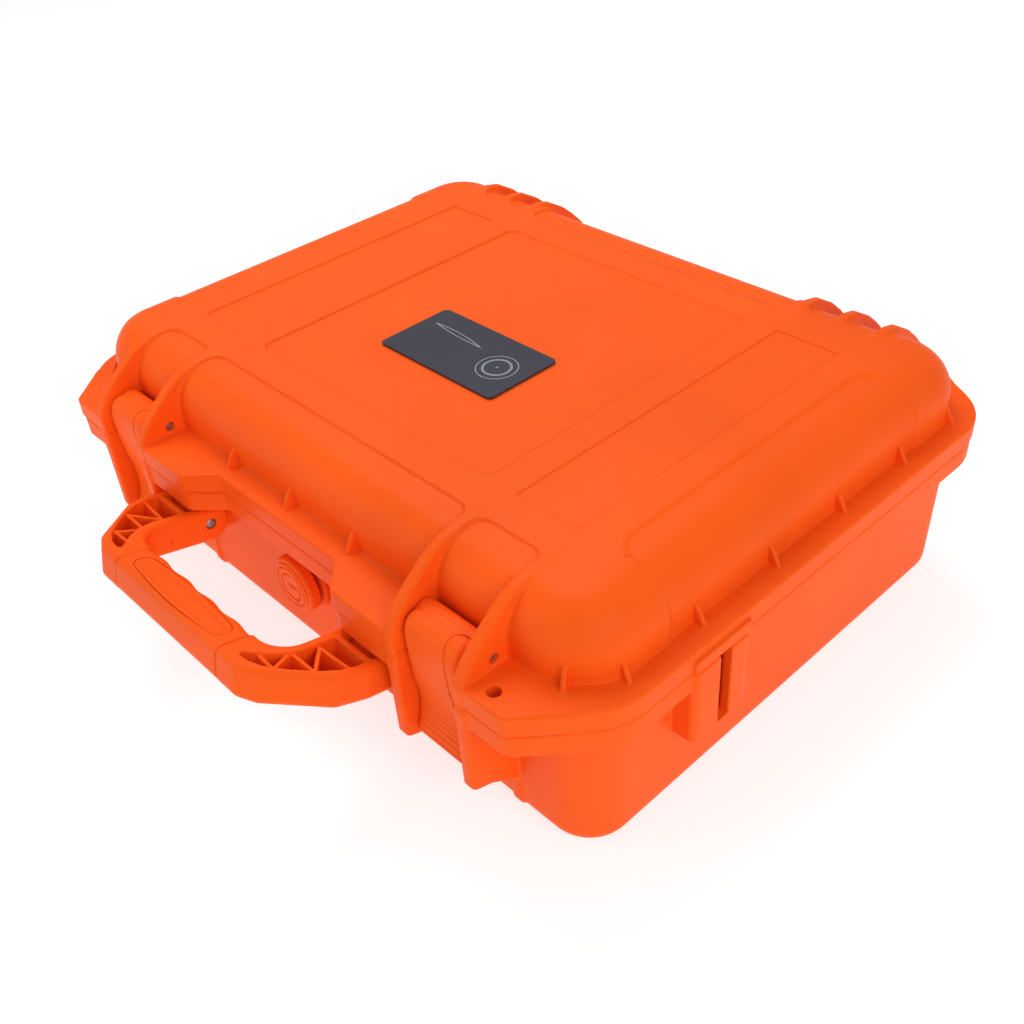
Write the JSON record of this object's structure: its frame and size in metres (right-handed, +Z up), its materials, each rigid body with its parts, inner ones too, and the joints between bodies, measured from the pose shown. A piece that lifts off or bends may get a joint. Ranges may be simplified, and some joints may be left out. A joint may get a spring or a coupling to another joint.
{
  "type": "hard equipment case",
  "caption": "Orange moulded equipment case with a hinged lid, two front latches, a fold-down carrying handle, a pressure release knob and foam inserts.",
  "frame": {"origin": "centre of the base's flat underside, below the middle of the lid's top panels", "axes": "+X along the front towards the right latch, +Y from the handle side to the hinges, +Z up"},
  "size_m": [0.362, 0.3414, 0.1174],
  "materials": {
    "shell_plastic": "satin moulded orange",
    "steel": "plain steel",
    "seal_rubber": "matt black",
    "foam": "open-cell black foam",
    "label": "dark printed plate"
  },
  "bodies": {
    "base": {"base_shell": "shell_plastic", "foam_pad": "foam", "foam_base": "foam", "handle_screw_left": "steel", "handle_screw_right": "steel", "valve_seat": "shell_plastic", "valve_seal": "seal_rubber", "valve_nut": "shell_plastic", "hinge_pin_left": "steel", "hinge_pin_right": "steel"},
    "handle": {"handle_frame": "shell_plastic", "handle_grip": "shell_plastic", "grip_inset": "shell_plastic"},
    "valve": {"valve_knob": "shell_plastic"},
    "lid": {"lid_shell": "shell_plastic", "gasket": "seal_rubber", "foam_lid": "foam", "label_plate": "label", "latch_pin_left": "steel", "latch_pin_right": "steel"},
    "latch_left": {"latch_lever_left": "shell_plastic"},
    "latch_right": {"latch_lever_right": "shell_plastic"}
  },
  "joints": [
    {"name": "lid_hinge", "type": "hinge", "parent": "base", "child": "lid", "pos_m": [0, 0.141, 0.0782], "axis": [-1, 0, 0], "range_deg": [0, 105]},
    {"name": "latch_left_pivot", "type": "hinge", "parent": "lid", "child": "latch_left", "pos_m": [-0.11, -0.131, 0.0915], "axis": [-1, 0, 0], "range_deg": [0, 100]},
    {"name": "latch_right_pivot", "type": "hinge", "parent": "lid", "child": "latch_right", "pos_m": [0.11, -0.131, 0.0915], "axis": [-1, 0, 0], "range_deg": [0, 100]},
    {"name": "handle_pivot", "type": "hinge", "parent": "base", "child": "handle", "pos_m": [0, -0.139, 0.057], "axis": [1, 0, 0], "range_deg": [0, 104]},
    {"name": "valve_turn", "type": "hinge", "parent": "base", "child": "valve", "pos_m": [0, -0.13, 0.0479], "axis": [0, -1, 0], "range_deg": [0, 270]}
  ]
}
